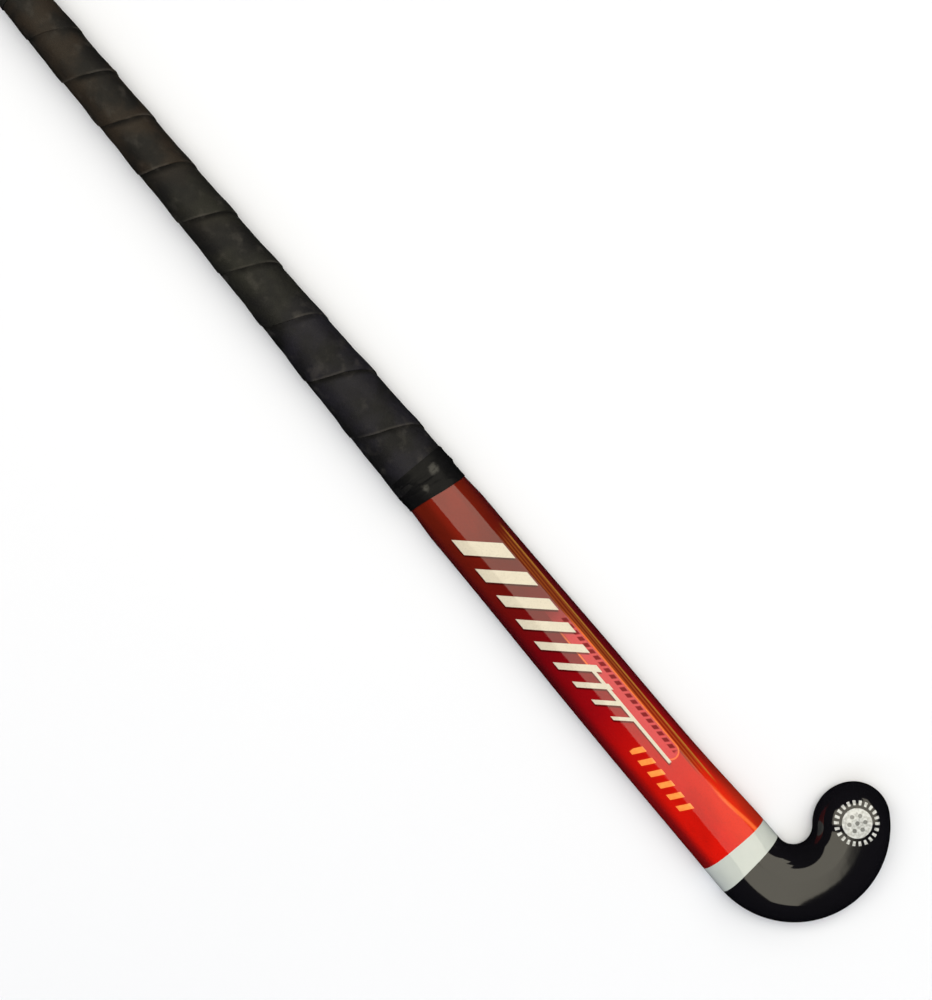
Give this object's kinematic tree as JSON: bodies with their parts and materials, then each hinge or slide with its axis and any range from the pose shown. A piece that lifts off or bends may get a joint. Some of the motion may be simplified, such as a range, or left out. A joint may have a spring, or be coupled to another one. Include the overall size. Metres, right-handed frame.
{
  "type": "field hockey stick",
  "caption": "Short field hockey stick: hooked black head with a flat playing face, pale neck band, red printed shaft and a wound dark grip closed with tape.",
  "frame": {"origin": "centre of the bounding box's base, on the plane of the flat playing face, on which the stick lies", "axes": "+X from the butt of the handle to the heel of the head; +Y the way the toe points; +Z out of the rounded back"},
  "size_m": [0.762, 0.1129, 0.0252],
  "materials": {
    "cane": "split cane, cut square and glued, unfinished",
    "mulberry_veneer": "steam-bent veneer, glued, unfinished",
    "insert_rubber": "flat rubber sheet",
    "cap_rubber": "satin moulded rubber",
    "twine": "waxed twine, close wound and glued",
    "splice_cloth": "cloth tape in glue",
    "glass_fibre": "glass-fibre cloth in resin, sanded",
    "shaft_print": "printed film under clear gloss lacquer",
    "band_lacquer": "gloss off-white lacquer",
    "head_lacquer": "deep gloss black lacquer",
    "badge_print": "printed transfer under lacquer",
    "cushion_foam": "thin closed-cell foam",
    "grip_leather": "satin synthetic leather strip, wound with overlaps",
    "tape_pvc": "stretched gloss electrical-type tape"
  },
  "bodies": {
    "root": {"cane_splint_1": "cane", "cane_splint_2": "cane", "cane_splint_3": "cane", "cane_splint_4": "cane", "cane_splint_5": "cane", "cane_splint_6": "cane", "cane_splint_7": "cane", "cane_splint_8": "cane", "cane_splint_9": "cane", "end_cap": "cap_rubber", "finish_tape": "tape_pvc", "glass_fibre_wrap": "glass_fibre", "grip_cushion": "cushion_foam", "grip_strip": "grip_leather", "head_lamina_1": "mulberry_veneer", "head_lamina_2": "mulberry_veneer", "head_lamina_3": "mulberry_veneer", "head_lamina_4": "mulberry_veneer", "head_lamina_5": "mulberry_veneer", "head_lamina_6": "mulberry_veneer", "head_lamina_7": "mulberry_veneer", "head_shell": "head_lacquer", "neck_band": "band_lacquer", "printed_sleeve": "shaft_print", "rubber_insert_1": "insert_rubber", "rubber_insert_2": "insert_rubber", "splice_binding": "splice_cloth", "toe_badge": "badge_print", "twine_binding": "twine"}
  },
  "joints": []
}
